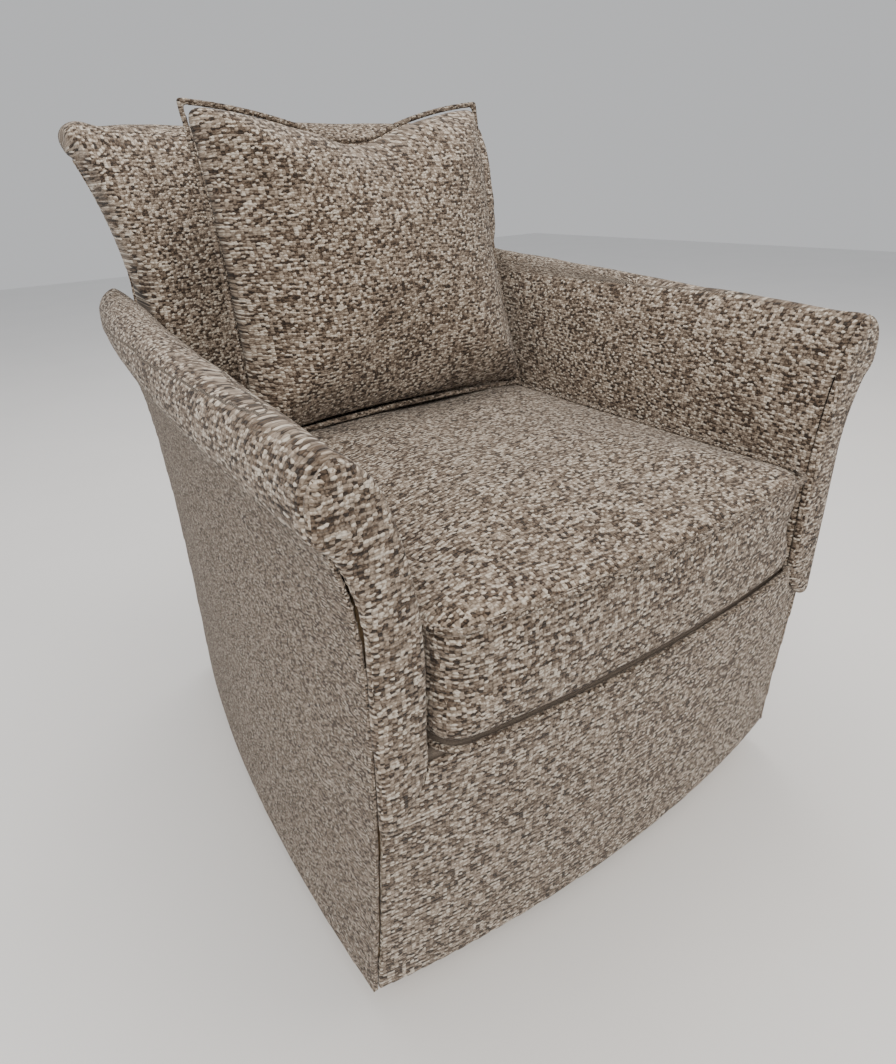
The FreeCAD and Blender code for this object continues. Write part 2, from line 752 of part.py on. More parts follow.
def knee_height():
    return core_points()[2][1]


# Seat cushion and back pillow


def cushion_outline(z, inset=0.0):
    """Plan of the seat cushion at one height: bowed front and back, straight sides, round corners."""
    half = INNER - size("cushion_gap") - inset
    front = FRONT + inset
    back = size("inside_back") - size("cushion_back_gap") - inset
    front_side = front + size("cushion_bow")
    back_side = back - sag_at(back, half)
    sharp = outline(
        line((half, front_side, z), (half, back_side, z)),
        arc((half, back_side, z), (0, back, z), (-half, back_side, z)),
        line((-half, back_side, z), (-half, front_side, z)),
        arc((-half, front_side, z), (0, front, z), (half, front_side, z)),
    )
    block = Part.Face(sharp).extrude(Vector(0, 0, 10))
    upright = [e for e in block.Edges if abs(e.Vertexes[0].Z - e.Vertexes[-1].Z) > 5]
    corner = max(size("cushion_corner") - inset, 0.4 * size("cushion_corner"))
    rounded = block.makeFillet(corner, upright)
    return min(rounded.Faces, key=lambda face: face.CenterOfMass.z).OuterWire


def seat_cushion():
    """Crown above and below, and a border that draws in between the two seams."""
    welt = size("welt_radius")
    foot = DECK + CLEAR
    seam_low = foot + welt + 1
    seam_top = seam_low + size("cushion_thickness")
    crown = size("cushion_crown")
    middle = (seam_low + seam_top) / 2
    edge = 2 * welt + CLEAR
    border = [(seam_low, edge), (seam_low + 3 * welt, welt + 1), (middle, welt + size("cushion_waist"))]
    border += [(seam_top - 3 * welt, welt + 1), (seam_top, edge)]
    top = [(seam_top, edge), (seam_top + 0.5 * crown, 34), (seam_top + 0.85 * crown, 84)]
    top += [(seam_top + crown, 165)]
    low = [(foot, 6 * welt), (seam_low, edge)]
    parts = [loft([cushion_outline(*step) for step in steps]) for steps in (low, border, top)]
    return parts[0].fuse(parts[1:]).removeSplitter()


def hexagon(radius, middle, along):
    """Six-sided section of a cord, square to the way that it runs."""
    across = Vector(0, 0, 1).cross(along)
    across = across.normalize() if across.Length > 0.01 else Vector(1, 0, 0)
    up = along.cross(across).normalize()
    corners = []
    for i in range(6):
        angle = math.radians(60 * i)
        corners.append(middle + across * (radius * math.cos(angle)) + up * (radius * math.sin(angle)))
    return Part.makePolygon(corners + corners[:1])


def piping(path, radius):
    """A round cord along a smooth closed seam."""
    first = path.OrderedEdges[0]
    start = first.valueAt(first.FirstParameter)
    along = first.tangentAt(first.FirstParameter)
    section = hexagon(radius, start, along)
    return path.makePipeShell([section], True, False, 0)


def cushion_welt(z):
    """One loop of piping along a seam of the cushion."""
    return piping(cushion_outline(z, size("welt_radius")), size("welt_radius"))


def pillow_outline(depth, share, inset=0.0):
    """Front view of the pillow at one depth. Its top edge dips in the middle, its other edges draw in."""
    half = size("pillow_width") / 2 * share - inset
    foot = size("pillow_height") / 2 * (1 - share) + inset
    top = size("pillow_height") - foot
    waist = size("pillow_waist") * share
    chop = size("pillow_chop") * share
    middle = (foot + top) / 2

    def at(x, z):
        return (x, depth, z)
    edges = [
        arc(at(-half, foot), at(0, foot + waist), at(half, foot)),
        arc(at(half, foot), at(half - waist, middle), at(half, top)),
        arc(at(half, top), at(0.66 * half, top - 0.22 * chop), at(0.3 * half, top - 0.66 * chop)),
        arc(at(0.3 * half, top - 0.66 * chop), at(0, top - chop), at(-0.3 * half, top - 0.66 * chop)),
        arc(at(-0.3 * half, top - 0.66 * chop), at(-0.66 * half, top - 0.22 * chop), at(-half, top)),
        arc(at(-half, top), at(waist - half, middle), at(-half, foot)),
    ]
    return outline(*edges)


PILLOW_STEPS = ((0, 1), (0.24, 0.965), (0.5, 0.885), (0.74, 0.76), (0.92, 0.58), (1, 0.36))


def pillow():
    """A knife-edged pillow: two crowned halves that meet at the seam."""
    deep = size("pillow_thickness") / 2
    half = loft([pillow_outline(-deep * step, share, 1.25 * size("welt_radius")) for step, share in PILLOW_STEPS])
    return half.fuse(half.mirror(Vector(), Vector(0, 1, 0))).removeSplitter()


def pillow_piping():
    """Piping round the pillow, one length along each side and a ball at each corner."""
    radius = size("welt_radius")
    pieces = []
    for edge in pillow_outline(0, 1).OrderedEdges:
        start = edge.valueAt(edge.FirstParameter)
        section = Part.Wire(Part.makeCircle(radius, start, edge.tangentAt(edge.FirstParameter)))
        pieces.append(Part.Wire([edge]).makePipeShell([section], True, False, 0))
        pieces.append(Part.makeSphere(radius, start))
    return pieces[0].fuse(pieces[1:])


def on_lean(shape):
    """Leans a piece of the pillow back, above the seat cushion."""
    shape.rotate(Vector(), Vector(1, 0, 0), -size("pillow_lean"))
    shape.translate(Vector(0, size("pillow_foot"), CUSHION_TOP + 30))
    return shape


CUSHION_TOP = DECK + CLEAR + size("welt_radius") + 1 + size("cushion_thickness") + size("cushion_crown")


def pillow_drop(cushion):
    """How far the leaning pillow can sink from well above the cushion before it rests."""
    drop = 0.0
    shapes = [on_lean(pillow()), on_lean(pillow_piping())]
    for _ in range(3):
        room = min(shape.distToShape(cushion)[0] for shape in shapes) - CLEAR
        drop += room
        for shape in shapes:
            shape.translate(Vector(0, 0, -room))
    return drop


# The pieces of the swivel base

BAR_FOOT = "glide_height + (ring_tube - bar_height) / 2"
BAR_TOP = BAR_FOOT + " + bar_height"
LOWER_PLATE_TOP = BAR_TOP + " + plate_thickness"
RACE_TOP = LOWER_PLATE_TOP + " + race_height"
UPPER_PLATE_FOOT = RACE_TOP + " + clearance"
UPPER_PLATE_TOP = UPPER_PLATE_FOOT + " + plate_thickness"
CRADLE_TOP = UPPER_PLATE_TOP + " + steel"


def base_ring():
    """A ring of square bar, rolled and welded."""
    outside = cylinder("ring_outside", "ring_radius + ring_tube / 2", "ring_tube", y="swivel_y", z="glide_height")
    inside = cylinder("ring_inside", "ring_radius - ring_tube / 2", "ring_tube", y="swivel_y", z="glide_height")
    return cut("base_ring", outside, inside)


def base_cross(tube):
    """Two flat bars, halved into each other and welded to the inside of the ring."""
    along = centred_box("bar_along", "bar_width", "2 * ring_radius", "bar_height", y="swivel_y", z=BAR_FOOT)
    across = centred_box("bar_across", "2 * ring_radius", "bar_width", "bar_height", y="swivel_y", z=BAR_FOOT)
    hole = cylinder("bar_hole", "pin_radius + clearance", "bar_height", y="swivel_y", z=BAR_FOOT)
    return cut("base_cross", fuse("bars", along, across), tube, hole)


def floor_glides():
    """Moulded discs under the tube, with a saddle that the tube sits in."""
    glides = []
    count = int(size("glide_count"))
    tube = doc.getObject("base_ring")
    for i in range(count):
        turn = f"{360 * (i + 0.25)} / glide_count"
        x, y = f"ring_radius * cos({turn})", f"swivel_y + ring_radius * sin({turn})"
        disc = cylinder(f"glide_{i}", "glide_radius", "glide_height + 3", x, y)
        glides.append(cut(f"glide_seat_{i}", disc, tube))
    return group("floor_glides", glides)


def lower_plate():
    disc = cylinder("lower_disc", "lower_plate_radius", "plate_thickness", y="swivel_y", z=BAR_TOP)
    hole = cylinder("lower_hole", "pin_radius + clearance", "plate_thickness", y="swivel_y", z=BAR_TOP)
    return cut("lower_swivel_plate", disc, hole)


def slip_ring():
    disc = cylinder("slip_disc", "race_outer", "race_height", y="swivel_y", z=LOWER_PLATE_TOP)
    hole = cylinder("slip_hole", "race_inner", "race_height", y="swivel_y", z=LOWER_PLATE_TOP)
    return cut("slip_ring", disc, hole)


def king_pin():
    """Headed pin from under the cross up through the turning plate."""
    head = cylinder("pin_head", "pin_head_radius", "pin_head_height", y="swivel_y", z=BAR_FOOT + " - pin_head_height")
    length = f"({UPPER_PLATE_TOP}) - ({BAR_FOOT}) + nut_height + 4"
    shank = cylinder("pin_shank", "pin_radius", length, y="swivel_y", z=BAR_FOOT)
    return fuse("king_pin", head, shank)


def king_nut():
    prism = doc.addObject("Part::Prism", "nut_prism")
    prism.Polygon = 6
    bind(prism, Circumradius="nut_radius", Height="nut_height", y="swivel_y", z=UPPER_PLATE_TOP + " + clearance")
    bore = cylinder("nut_bore", "pin_radius", "nut_height", y="swivel_y", z=UPPER_PLATE_TOP + " + clearance")
    return cut("king_pin_nut", prism, bore)


def upper_plate():
    width = "upper_plate_size"
    plate = centred_box("upper_square", width, width, "plate_thickness", y="swivel_y", z=UPPER_PLATE_FOOT)
    hole = cylinder("upper_hole", "pin_radius + clearance", "plate_thickness", y="swivel_y", z=UPPER_PLATE_FOOT)
    return cut("upper_swivel_plate", plate, hole)


# The rocking cradle, which turns with the upper plate


def cradle_floor():
    floor = centred_box("cradle_plate", "cradle_width", "cradle_length", "steel", y="swivel_y", z=UPPER_PLATE_TOP)
    hole = cylinder("cradle_hole", "nut_radius + 8", "steel", y="swivel_y", z=UPPER_PLATE_TOP)
    return cut("cradle_floor", floor, hole)


def cheek(name, side):
    """An upright plate that tapers to its pivot, with a bore for the bush."""
    def draw(sketch):
        foot, top = CRADLE_TOP, "pivot_height + cheek_over"
        polygon(sketch, [
            ("swivel_y - cradle_length / 2", foot),
            ("swivel_y + cradle_length / 2", foot),
            ("swivel_y + cheek_half", top),
            ("swivel_y - cheek_half", top),
        ])
        ring(sketch, "pivot_radius + bush_wall", "swivel_y", "pivot_height")
    outside = "cradle_width / 2" if side > 0 else "steel - cradle_width / 2"
    return padded(name, "YZ_Plane", "steel", draw, offset=outside + " - steel")


def pivot_pin(name, side):
    """Pin through the bush in a cheek, fixed in the hanger outside it."""
    start = "cradle_width / 2 - steel - 6" if side > 0 else "-(cradle_width / 2 + steel + clearance + 6)"
    length = "2 * steel + clearance + 12"
    return cylinder(name, "pivot_radius - clearance", length, start, "swivel_y", "pivot_height", along_x=True)


def bush(name, side):
    """Nylon bush pressed into the cheek."""
    start = "cradle_width / 2 - steel" if side > 0 else "-cradle_width / 2"
    x, y, z = start, "swivel_y", "pivot_height"
    outer = cylinder(name + "_outer", "pivot_radius + bush_wall", "steel", x, y, z, along_x=True)
    bore = cylinder(name + "_bore", "pivot_radius", "steel", x, y, z, along_x=True)
    return cut(name, outer, bore)


# The rocker, which carries the chair


def rocker_pan():
    """A pressed plate under the slats, with a hanger outside each cheek."""
    x = "cradle_width / 2 + clearance"
    plate = centred_box("pan_plate", f"2 * ({x} + steel)", "pan_length", "steel", y="swivel_y", z="pan_height")
    hangers = []
    for label, side in SIDES:
        body = doc.addObject("PartDesign::Body", "hanger_" + label)
        start = f"{x}" if side > 0 else f"-({x} + steel)"
        sketch = sketch_on(body, "YZ_Plane", start)
        polygon(sketch, [
            ("swivel_y - cheek_half", "pan_height"),
            ("swivel_y - 16", "pivot_height - 14"),
            ("swivel_y + 16", "pivot_height - 14"),
            ("swivel_y + cheek_half", "pan_height"),
        ])
        ring(sketch, "pivot_radius - clearance", "swivel_y", "pivot_height")
        pad = body.newObject("PartDesign::Pad", f"hanger_{label}_pad")
        pad.Profile = sketch
        pad.setExpression("Length", with_sheet("steel"))
        body.Tip = pad
        hangers.append(body)
    holes = []
    for label, side in SIDES:
        for sign in (-1, 1):
            y = f"swivel_y + {sign} * slat_y"
            name = f"pan_hole_{label}_{sign + 1}"
            holes.append(cylinder(name, "bolt_radius", "steel", f"{side} * bolt_x", y, "pan_height"))
    return cut("rocker_pan", fuse("pan_form", plate, *hangers), *holes)


def at_springs():
    return [(sx, sy) for sy in (-1, 1) for sx in (-1, 1)]


def spring_cups(name, z):
    """Round spigots that the ends of the springs sit over."""
    radius = "spring_radius - spring_wire / 2 - 6 * clearance"
    cups = []
    for sx, sy in at_springs():
        x, y = f"{sx} * spring_x", f"swivel_y + {sy} * spring_y"
        cups.append(cylinder(f"{name}_{sx + 1}{sy + 1}", radius, "cup_height", x, y, z))
    return group(name, cups)


def coil(x, y, foot, top):
    """A spring as one tube of square wire, bent in short straights."""
    sides = 10
    wire = size("spring_wire")
    turns = size("spring_turns")
    rise = top - foot - wire
    count = int(sides * turns)
    points = []
    for i in range(count + 1):
        angle = 2 * math.pi * i / sides
        points.append(Vector(
            x + size("spring_radius") * math.cos(angle),
            y + size("spring_radius") * math.sin(angle),
            foot + wire / 2 + rise * i / count,
        ))
    path = Part.makePolygon(points)
    along = points[1] - points[0]
    across = Vector(0, 0, 1).cross(along).normalize()
    up = along.cross(across).normalize()
    half = wire / 2
    corners = [points[0] + across * (a * half) + up * (b * half) for a, b in ((1, 1), (-1, 1), (-1, -1), (1, -1))]
    section = Part.makePolygon(corners + corners[:1])
    return path.makePipeShell([section], True, False, 1)


def springs(sign):
    """The pair of springs in front of the pivots, or behind them."""
    upper_plate_top = size("glide_height") + (size("ring_tube") + size("bar_height")) / 2
    upper_plate_top += 2 * size("plate_thickness") + size("race_height") + CLEAR
    foot = upper_plate_top + size("steel") + CLEAR / 2
    top = size("pan_height") - CLEAR / 2
    y = SWIVEL + sign * size("spring_y")
    return Part.makeCompound([coil(side * size("spring_x"), y, foot, top) for _, side in SIDES])


def rubber_stops():
    """Buffers under the pan, which meet the tops of the cheeks when the chair rocks far."""
    height = "pan_height - pivot_height - cheek_over - stop_gap"
    stops = []
    for label, side in SIDES:
        x = f"{side} * (cradle_width / 2 - stop_radius)"
        for sign in (-1, 1):
            y = f"swivel_y + {sign} * stop_y"
            stops.append(cylinder(f"stop_{label}_{sign + 1}", "stop_radius", height, x, y, f"pan_height - ({height})"))
    return group("rubber_stops", stops)


def slat(name, sign):
    """A hardwood slat from one bottom rail to the other, drilled for its bolts."""
    y = f"swivel_y + {sign} * slat_y"
    ends = [SWIVEL + sign * size("slat_y") + step * size("slat_width") / 2 for step in (-1, 1)]
    shares = [(end - BORDER_FRONT) / (BACK_END - BORDER_FRONT) for end in ends]
    half = min(cover_x(share, level_of(SLAT_FOOT)) for share in shares) - COVER - 4
    plank = centred_box(name + "_plank", str(round(2 * half, 1)), "slat_width", "slat_thickness", y=y, z="pan_height + steel")
    holes = [
        cylinder(f"{name}_hole_{side + 1}", "bolt_radius", "slat_thickness", f"{side} * bolt_x", y, "pan_height + steel")
        for _, side in SIDES
    ]
    return cut(name, plank, *holes)


def slat_bolts():
    """Bolts up through the pan and the slats, each with its head under the pan."""
    bolts = []
    for label, side in SIDES:
        for sign in (-1, 1):
            name = f"bolt_{label}_{sign + 1}"
            x, y = f"{side} * bolt_x", f"swivel_y + {sign} * slat_y"
            head = cylinder(name + "_head", "2 * bolt_radius", "bolt_radius", x, y, "pan_height - bolt_radius")
            shank = cylinder(name + "_shank", "bolt_radius", "slat_thickness + steel", x, y, "pan_height")
            bolts.append(fuse(name, head, shank))
    return group("slat_bolts", bolts)


# The seat box


def border_y(z):
    """Outside corner of the front border at a height."""
    return BORDER_FRONT + size("front_kick") * max(0, (DECK - z) / (DECK - FLOOR_EDGE))


def front_band(z, inset, thickness, side_gap):
    """One level of a sheet or board that follows the bow of the front."""
    half = cover_x(0, level_of(z)) - side_gap
    corner = border_y(z) + inset
    bow = size("front_bow")
    back = corner + thickness
    return outline(
        arc((half, corner, z), (0, corner - bow, z), (-half, corner, z)),
        line((-half, corner, z), (-half, back, z)),
        arc((-half, back, z), (0, back - bow, z), (half, back, z)),
        line((half, back, z), (half, corner, z)),
    )


def front_border():
    heights = (FLOOR_EDGE, mix(FLOOR_EDGE, DECK, 0.35), mix(FLOOR_EDGE, DECK, 0.7), DECK)
    return loft([front_band(z, 0, COVER, COVER + 3 * CLEAR) for z in heights])


def front_board(foot, top):
    """A sawn rail behind the front border, between the front posts."""
    half = OUTER - COVER - size("post_thickness") - 3 * CLEAR
    wires = []
    for z in (foot, top):
        step = border_y(foot) - border_y(z)
        side_gap = cover_x(0, level_of(z)) - half
        wires.append(front_band(z, COVER + CLEAR + step, size("rail_thickness"), side_gap))
    return loft(wires, ruled=True)


def front_post():
    """Upright from the bottom rail to the arm board, cut to the lean of the arm."""
    y = border_y(FLOOR_EDGE) + COVER + CLEAR
    foot = FLOOR_EDGE + size("sole_lift")
    top = size("arm_height") - size("arm_top_padding") - size("arm_board_height") - 2 * CLEAR
    outer = OUTER - COVER - CLEAR
    block = Part.makeBox(size("post_thickness"), size("post_width"), top - foot,
                         Vector(outer - size("post_thickness"), y, foot))
    return block


def seat_deck():
    """Padding on the seat springs, between the arms, the front border and the inside back."""
    half = INNER - CLEAR
    rise = size("deck_thickness")
    front = border_y(DECK) + COVER + size("front_kick") * rise / (DECK - FLOOR_EDGE) + 7 * CLEAR
    bow_half = cover_x(0, level_of(RAIL_TOP)) - COVER
    bow = size("front_bow")
    side_y = front - bow + bow * (half / bow_half) ** 2
    back = size("inside_back") - CLEAR
    sag = sag_at(back, half)
    z = RAIL_TOP
    plan = outline(
        arc((half, side_y, z), (0, front - bow, z), (-half, side_y, z)),
        line((-half, side_y, z), (-half, back - sag, z)),
        arc((-half, back - sag, z), (0, back, z), (half, back - sag, z)),
        line((half, back - sag, z), (half, side_y, z)),
    )
    return Part.Face(plan).extrude(Vector(0, 0, rise))


WOOD_TOP = RAIL_TOP - size("zigzag_wire") - 2 * CLEAR
POST_FRONT = border_y(FLOOR_EDGE) + COVER + CLEAR
POST_BACK = POST_FRONT + size("post_width")
BACK_POST_FRONT = core_points(FRAME_GAP)[0][0]


def zigzag(x):
    """A flat spring from the front rail to the back rail: cross bars joined by half circles."""
    half = OUTER - COVER - size("post_thickness")
    rail = size("rail_thickness")
    front = border_y(RAIL_FOOT) + COVER + 0.6 * rail - size("front_bow") * (1 - (x / half) ** 2)
    back = BACK_POST_FRONT + 0.5 * rail - x ** 2 / (2 * BOW_RADIUS)
    bends = int(size("zigzag_bends"))
    pitch = (back - front) / bends
    wire = size("zigzag_wire")
    reach = (size("zigzag_width") - wire - pitch) / 2
    z = WOOD_TOP + CLEAR
    pieces = []
    for i in range(bends + 1):
        y = front + i * pitch
        pieces.append(Part.makeBox(2 * reach, wire, wire, Vector(x - reach, y - wire / 2, z)))
        if i < bends:
            side = 1 if i % 2 else -1
            pieces.append(half_ring(x + side * reach, y + pitch / 2, z, side, pitch / 2, wire))
    return pieces[0].fuse(pieces[1:]).removeSplitter()


def half_ring(x, y, z, side, radius, wire):
    """One bend of a flat spring, open towards the other side."""
    rings = []
    for r in (radius + wire / 2, radius - wire / 2):
        rings.append([(x, y - r, z), (x + side * r, y, z), (x, y + r, z)])
    outer, inner = rings
    bend = outline(arc(*outer), line(outer[2], inner[2]), arc(*inner[::-1]), line(inner[0], outer[0]))
    return Part.Face(bend).extrude(Vector(0, 0, wire))


def at_zigzags():
    count = int(size("zigzag_count"))
    return [(i - (count - 1) / 2) * size("zigzag_spacing") for i in range(count)]


def seat_springs():
    return Part.makeCompound([zigzag(x) for x in at_zigzags()])


BLOCK_FRONT = BACK_POST_FRONT - size("back_sag") + 14
BLOCK_BACK = BLOCK_FRONT + size("rail_thickness")


def post_block(foot, top, rail, post):
    """Packing block on the +X side, cut to the rail and the post that it joins."""
    post_out = BACK_FOOT_SIDE + 3 - size("back_nose") - FRAME_GAP
    block = Part.makeBox(size("rail_thickness"), BLOCK_BACK - BLOCK_FRONT, top - foot,
                         Vector(post_out - 2, BLOCK_FRONT, foot))
    return block.cut([rail, post])


def dust_cover():
    """Black cloth under the slats, open round the rocker."""
    z = SLAT_FOOT - 1.5
    inset = COVER + size("rail_thickness") + 5
    front, back = POST_BACK, BACK_POST_FRONT - size("back_sag")
    half_front, half_back = (cover_x(share, level_of(z)) - inset for share in (0.1, 0.9))
    sheet_plan = closed([(half_front, front, z), (half_back, back, z), (-half_back, back, z), (-half_front, front, z)])
    half = size("cradle_width") / 2 + size("steel") + 3
    deep = size("pan_length") / 2 + 3
    hole = Part.makeBox(2 * half, 2 * deep, 9, Vector(-half, SWIVEL - deep, z - 1))
    return Part.Face(sheet_plan).extrude(Vector(0, 0, 1.5)).cut(hole)


def cushion_zip():
    """Zip tape along the back border of the cushion."""
    inset = size("welt_radius") + size("cushion_waist")
    middle = DECK + CLEAR + size("welt_radius") + 1 + size("cushion_thickness") / 2
    foot = middle - size("zip_width") / 2
    outer, inner = (
        Part.Face(cushion_outline(foot, step)).extrude(Vector(0, 0, size("zip_width")))
        for step in (inset - 4, inset - 2.8)
    )
    half = 0.72 * INNER
    return outer.cut(inner).common(Part.makeBox(2 * half, 200, 99, Vector(-half, 60, foot - 9)))


# The sub-parts, from the floor up

FOOT = FLOOR_EDGE + size("sole_lift")
SIDE_GAPS = (POST_BACK - BORDER_FRONT + CLEAR, BACK_END - BLOCK_BACK)

tube = node("base_ring", base_ring())
node("base_cross", base_cross(tube))
node("floor_glides", floor_glides())
node("lower_swivel_plate", lower_plate())
node("slip_ring", slip_ring())
node("king_pin", king_pin())
node("king_pin_nut", king_nut())
node("upper_swivel_plate", upper_plate())
node("cradle_floor", cradle_floor())
for label, side in SIDES:
    bore = cylinder("cheek_bore_" + label, "pivot_radius + bush_wall", "steel",
                    "cradle_width / 2 - steel" if side > 0 else "-cradle_width / 2", "swivel_y", "pivot_height",
                    along_x=True)
    node("cradle_cheek_" + label, cut("cheek_cut_" + label, cheek("cheek_" + label, side), bore))
node("pivot_bushes", group("pivot_bushes", [bush("bush_" + label, side) for label, side in SIDES]))
node("lower_spring_cups", spring_cups("lower_cup", CRADLE_TOP))
node("front_rock_springs", formed("front_rock_springs", springs(-1)))
node("rear_rock_springs", formed("rear_rock_springs", springs(1)))
node("pivot_pins", group("pivot_pins", [pivot_pin("pin_" + label, side) for label, side in SIDES]))
node("rocker_pan", rocker_pan())
node("upper_spring_cups", spring_cups("upper_cup", "pan_height - cup_height"))
node("rubber_stops", rubber_stops())
node("front_slat", slat("front_slat", -1))
node("rear_slat", slat("rear_slat", 1))
node("slat_bolts", slat_bolts())

node("front_sole_rail", formed("front_sole_rail", front_board(FOOT, SLAT_FOOT)))
node("back_sole_rail", formed("back_sole_rail", cross_rail(FOOT, SLAT_FOOT, size("rail_thickness"))))
node("front_seat_rail", formed("front_seat_rail", front_board(RAIL_FOOT, WOOD_TOP)))
node("back_seat_rail", formed("back_seat_rail", cross_rail(RAIL_FOOT, WOOD_TOP, size("rail_thickness"))))
sole = side_board(FOOT, SLAT_FOOT, size("rail_thickness"), *SIDE_GAPS)
rail = side_board(RAIL_FOOT, WOOD_TOP, size("rail_thickness"), *SIDE_GAPS)
posts = back_posts()
blocks = [post_block(FOOT, SLAT_FOOT, sole, posts[1]), post_block(RAIL_FOOT, WOOD_TOP, rail, posts[1])]
for (label, side), post in zip(SIDES, posts):
    node(f"{label}_sole_rail", formed(f"{label}_sole_rail", mirrored(sole, side)))
    node(f"{label}_seat_rail", formed(f"{label}_seat_rail", mirrored(rail, side)))
    node(f"{label}_front_post", formed(f"{label}_front_post", mirrored(front_post(), side)))
    node(f"{label}_arm_board", formed(f"{label}_arm_board", mirrored(arm_board(), side)))
    node(f"{label}_back_post", formed(f"{label}_back_post", post))
both_blocks = Part.makeCompound([mirrored(block, side) for block in blocks for _, side in SIDES])
node("back_post_blocks", formed("back_post_blocks", both_blocks))
node("back_top_rail", formed("back_top_rail", top_rail()))
cross = cross_rail(SPRING_RAIL_TOP - 40, SPRING_RAIL_TOP, size("rail_thickness"))
node("back_cross_rail", formed("back_cross_rail", cross))
node("back_webbing", formed("back_webbing", back_webbing()))
node("seat_springs", formed("seat_springs", seat_springs()))
node("seat_deck", formed("seat_deck", seat_deck()))

back_solid = back_envelope()
facing = arm_front()
padding = arm_padding().cut([back_solid, side_cover()])
for label, side in SIDES:
    node(f"inside_arm_{label}", formed(f"inside_arm_{label}", mirrored(padding, side)))
    node(f"arm_front_{label}", formed(f"arm_front_{label}", mirrored(facing, side)))
    node(f"outside_arm_{label}", formed(f"outside_arm_{label}", mirrored(side_cover(), side)))
node("inside_back", formed("inside_back", back_padding()))
node("outside_back", formed("outside_back", outside_back()))
border = front_border().cut([mirrored(shape, side) for _, side in SIDES for shape in (facing, padding)])
node("front_border", formed("front_border", border))
node("dust_cover", formed("dust_cover", dust_cover()))

SEAM = DECK + CLEAR + size("welt_radius") + 1
cushion = seat_cushion()
node("seat_cushion", formed("seat_cushion", cushion))
loops = Part.makeCompound([cushion_welt(SEAM), cushion_welt(SEAM + size("cushion_thickness"))])
node("cushion_welts", formed("cushion_welts", loops))
node("cushion_zip", formed("cushion_zip", cushion_zip()))
drop = pillow_drop(Part.makeCompound([cushion, loops]))
for label, shape in (("back_pillow", pillow()), ("pillow_welt", pillow_piping())):
    piece = node(label, formed(label, shape))
    lean = Rotation(Vector(1, 0, 0), -size("pillow_lean"))
    piece.Placement = Placement(Vector(0, size("pillow_foot"), CUSHION_TOP + 30 - drop), lean)

doc.recompute()

for thing in doc.Objects:
    if {"Invalid", "Error"} & set(thing.State):
        raise RuntimeError(f"{thing.Name} failed: {thing.State}")
for made in NODES:
    shape = made.Shape
    if shape.isNull() or not shape.isValid() or not shape.Solids:
        raise RuntimeError(f"{made.Label} has no sound shape")

os.makedirs("parts", exist_ok=True)
for made in NODES:
    made.Shape.exportStep(f"parts/{made.Label}.step")
print(len(NODES), "sub-parts")
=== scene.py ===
"""Looks of an upholstered swivel rocker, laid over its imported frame.

Soft pieces start from the frame's solids. Each is remeshed, puffed by a short cloth simulation that is
held along its seams, and then smoothed. The tweed is procedural, laid on coordinates in metres.
"""

import json
import math

import bmesh
import bpy
from bpy.props import BoolProperty, FloatProperty, FloatVectorProperty, PointerProperty
from mathutils import Euler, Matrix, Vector, noise
from mathutils.bvhtree import BVHTree


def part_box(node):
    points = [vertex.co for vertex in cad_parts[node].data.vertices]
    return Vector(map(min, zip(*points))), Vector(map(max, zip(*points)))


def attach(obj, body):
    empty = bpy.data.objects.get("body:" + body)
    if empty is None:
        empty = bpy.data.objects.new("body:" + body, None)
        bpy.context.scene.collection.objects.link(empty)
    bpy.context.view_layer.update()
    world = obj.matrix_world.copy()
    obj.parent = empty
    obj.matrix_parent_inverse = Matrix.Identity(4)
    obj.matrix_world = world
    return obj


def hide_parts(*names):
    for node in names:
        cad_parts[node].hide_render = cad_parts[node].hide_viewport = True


bl_info = {
    "name": "Swivel rocker looks",
    "version": (1, 0, 0),
    "blender": (4, 2, 0),
    "location": "View3D > Sidebar > Swivel rocker",
    "description": "Builds the soft pieces, finishes, light and camera of a swivel rocker over its frame",
    "category": "Object",
}

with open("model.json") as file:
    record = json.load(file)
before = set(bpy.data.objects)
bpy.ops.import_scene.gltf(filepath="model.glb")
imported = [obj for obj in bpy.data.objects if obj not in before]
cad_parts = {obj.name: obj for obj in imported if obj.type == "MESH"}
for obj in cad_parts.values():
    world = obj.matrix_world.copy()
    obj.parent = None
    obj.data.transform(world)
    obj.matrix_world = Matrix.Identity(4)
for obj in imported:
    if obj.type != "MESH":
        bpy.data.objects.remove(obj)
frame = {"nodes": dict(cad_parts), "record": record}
NODES = frame["nodes"]
BODY_OF = {node: body for body, nodes in frame["record"]["behaviour"]["bodies"].items() for node in nodes}
SLOT_OF = {part["node"]: part["material_slot"] for part in frame["record"]["subparts"]}
SIDES = ("left", "right")

FINE_YARN = 0.26  # share of the fine yarn in the mix
ROW_TONE = 0.07  # how much the rows differ in tone
CLOTH_QUALITY = 3
CLOTH_FRAMES = 12
WELD_DISTANCE = 0.00002
WELT_VOXEL = 0.0022
FLOOR_SIZE = 14
FLOOR_DROP = 0.0005
FLOOR_GREY = (0.78, 0.78, 0.78)


# Settings


class WeaveSettings(bpy.types.PropertyGroup):
    """The tweed."""

    pitch: FloatProperty(
        name="Pitch",
        description="Distance between threads",
        default=0.0028,
        unit="LENGTH",
    )
    relief: FloatProperty(
        name="Relief",
        description="Height of the threads",
        default=0.0016,
        unit="LENGTH",
    )
    dark: FloatVectorProperty(
        name="Dark thread",
        description="Darkest yarn",
        default=(0.030, 0.022, 0.017),
        subtype="COLOR",
    )
    brown: FloatVectorProperty(
        name="Brown thread",
        description="Brown yarn",
        default=(0.105, 0.074, 0.052),
        subtype="COLOR",
    )
    taupe: FloatVectorProperty(
        name="Taupe thread",
        description="Main yarn",
        default=(0.235, 0.190, 0.150),
        subtype="COLOR",
    )
    cream: FloatVectorProperty(
        name="Cream slub",
        description="Pale slubs",
        default=(0.560, 0.505, 0.430),
        subtype="COLOR",
    )


